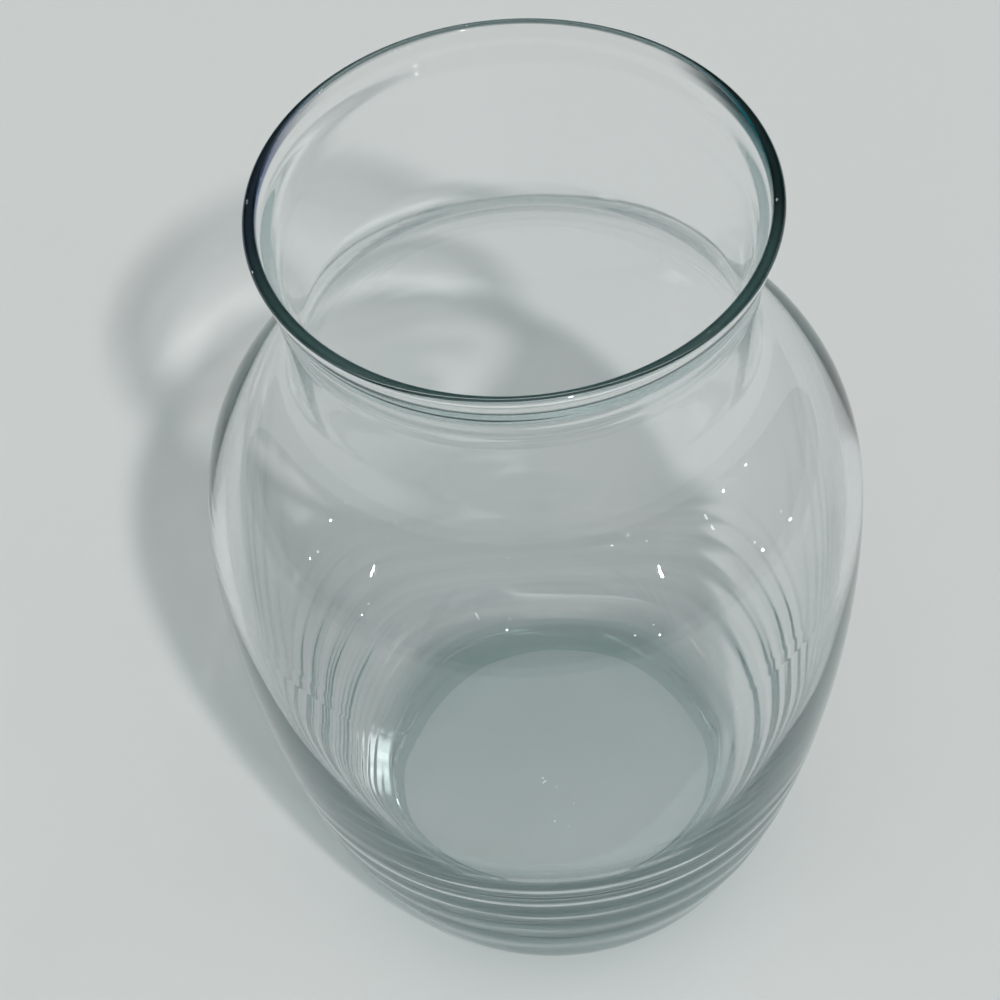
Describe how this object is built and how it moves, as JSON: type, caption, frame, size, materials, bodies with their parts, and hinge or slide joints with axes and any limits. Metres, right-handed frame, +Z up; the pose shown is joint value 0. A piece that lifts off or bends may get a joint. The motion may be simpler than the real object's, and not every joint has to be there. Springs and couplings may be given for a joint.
{
  "type": "glass flower vase",
  "caption": "Clear glass flower vase with a flared, round-lipped mouth, short neck, round shoulder and a body tapering to a heavy base ringed by soft settle waves.",
  "frame": {"origin": "centre of the flat standing ring, on the surface that the vase stands on", "axes": "+Z up along the vase's axis of revolution, from the base towards the mouth; X and Y are interchangeable"},
  "size_m": [0.14, 0.14, 0.204],
  "materials": {
    "glass": "clear and fire polished, with a faint blue-green tint in the thick base and at the lip"
  },
  "bodies": {
    "root": {"vase": "glass"}
  },
  "joints": []
}
